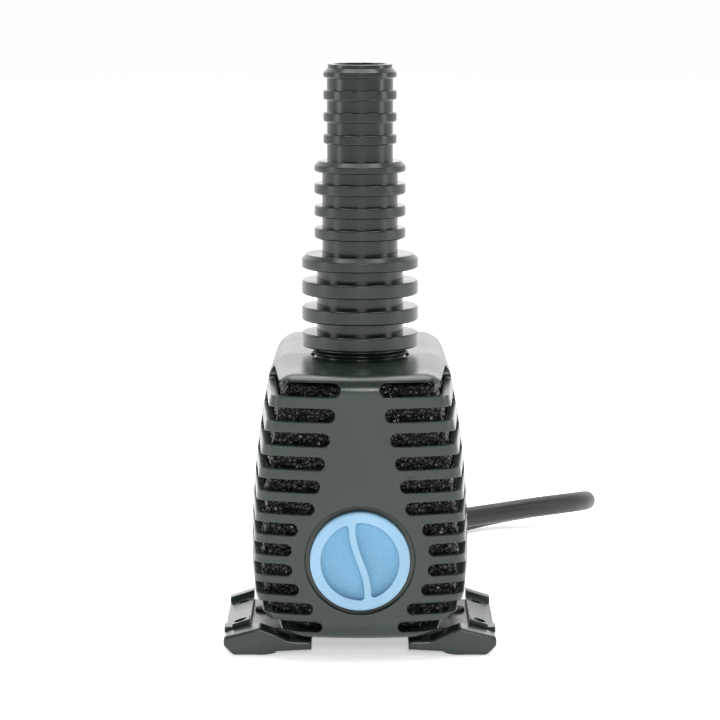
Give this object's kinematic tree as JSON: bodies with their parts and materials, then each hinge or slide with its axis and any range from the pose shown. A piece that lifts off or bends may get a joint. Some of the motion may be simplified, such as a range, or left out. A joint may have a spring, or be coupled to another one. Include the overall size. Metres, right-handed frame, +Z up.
{
  "type": "fountain submersible pump",
  "caption": "Upright slotted pump housing with a round flow knob, a stepped hose adapter on top, a footed base and a mains lead folded behind it.",
  "frame": {"origin": "centre of the pump's footprint box on the surface it stands on, without the mains lead and what is on it", "axes": "+Z up along the hose outlet, -Y towards the knob, +X to the right seen from the knob side"},
  "size_m": [0.1144, 0.229, 0.157],
  "materials": {
    "housing_plastic": "moulded, satin",
    "base_plastic": "moulded, satin",
    "adapter_plastic": "moulded, satin",
    "inner_plastic": "moulded",
    "knob_plastic": "moulded, fine grain",
    "filter_foam": "open-cell foam",
    "stainless_steel": "bright",
    "seal_rubber": "matt",
    "ceramic": "polished",
    "washer_plastic": "smooth",
    "impeller_plastic": "moulded",
    "ferrite": "ground",
    "core_steel": "stamped laminations",
    "bobbin_plastic": "moulded",
    "copper_wire": "enamelled",
    "fuse_shell": "drawn",
    "potting_resin": "cast",
    "foot_rubber": "matt",
    "boot_rubber": "matt",
    "lead_sheath": "satin",
    "tie_strap": "smooth",
    "plug_vinyl": "moulded",
    "nickel_plated_brass": "plated"
  },
  "bodies": {
    "housing": {"rear_cage": "housing_plastic", "pump_chamber": "inner_plastic", "cover_seal": "seal_rubber", "inlet_cover": "inner_plastic", "cover_screws": "stainless_steel", "front_bush": "seal_rubber", "rear_bush": "seal_rubber", "rotor_shaft": "ceramic", "thrust_washers": "washer_plastic", "motor_can": "inner_plastic", "stator_core": "core_steel", "coil_bobbin": "bobbin_plastic", "coil_winding": "copper_wire", "thermal_fuse": "fuse_shell", "potting_resin": "potting_resin", "motor_cap": "inner_plastic", "base_plate": "base_plastic", "rear_pads": "foot_rubber", "suction_cup_front_left": "foot_rubber", "suction_cup_front_right": "foot_rubber", "suction_cup_rear_left": "foot_rubber", "suction_cup_rear_right": "foot_rubber", "cable_boot": "boot_rubber", "mains_lead": "lead_sheath", "lead_hank": "lead_sheath", "hank_ties": "tie_strap", "plug_body": "plug_vinyl", "plug_pins": "nickel_plated_brass"},
    "cage": {"front_cage": "housing_plastic", "front_foam": "filter_foam"},
    "knob": {"flow_knob": "knob_plastic", "spindle_clip": "stainless_steel", "regulator_disc": "inner_plastic", "regulator_screw": "stainless_steel"},
    "rotor": {"impeller": "impeller_plastic", "rotor_magnet": "ferrite"},
    "outlet_seal": {"outlet_gasket": "seal_rubber"},
    "adapter": {"hose_adapter": "adapter_plastic"}
  },
  "joints": [
    {"name": "cage_slide", "type": "slide", "parent": "housing", "child": "cage", "axis": [0, -1, 0], "range_m": [0, 0.05]},
    {"name": "knob_turn", "type": "hinge", "parent": "cage", "child": "knob", "pos_m": [0, -0.045, 0.0275], "axis": [0, 1, 0], "range_deg": [0, 90]},
    {"name": "rotor_spin", "type": "hinge", "parent": "housing", "child": "rotor", "pos_m": [0, 0.013, 0.0275], "axis": [0, 1, 0], "continuous": true},
    {"name": "adapter_turn", "type": "hinge", "parent": "housing", "child": "outlet_seal", "pos_m": [0, -0.007, 0.062], "axis": [0, 0, 1], "range_deg": [0, 2520]},
    {"name": "adapter_rise", "type": "slide", "parent": "outlet_seal", "child": "adapter", "axis": [0, 0, 1], "range_m": [0, 0.0127]}
  ],
  "couplings": [
    {"joint": "adapter_rise", "follows": "adapter_turn", "m_per_rad": 0.00028871}
  ]
}
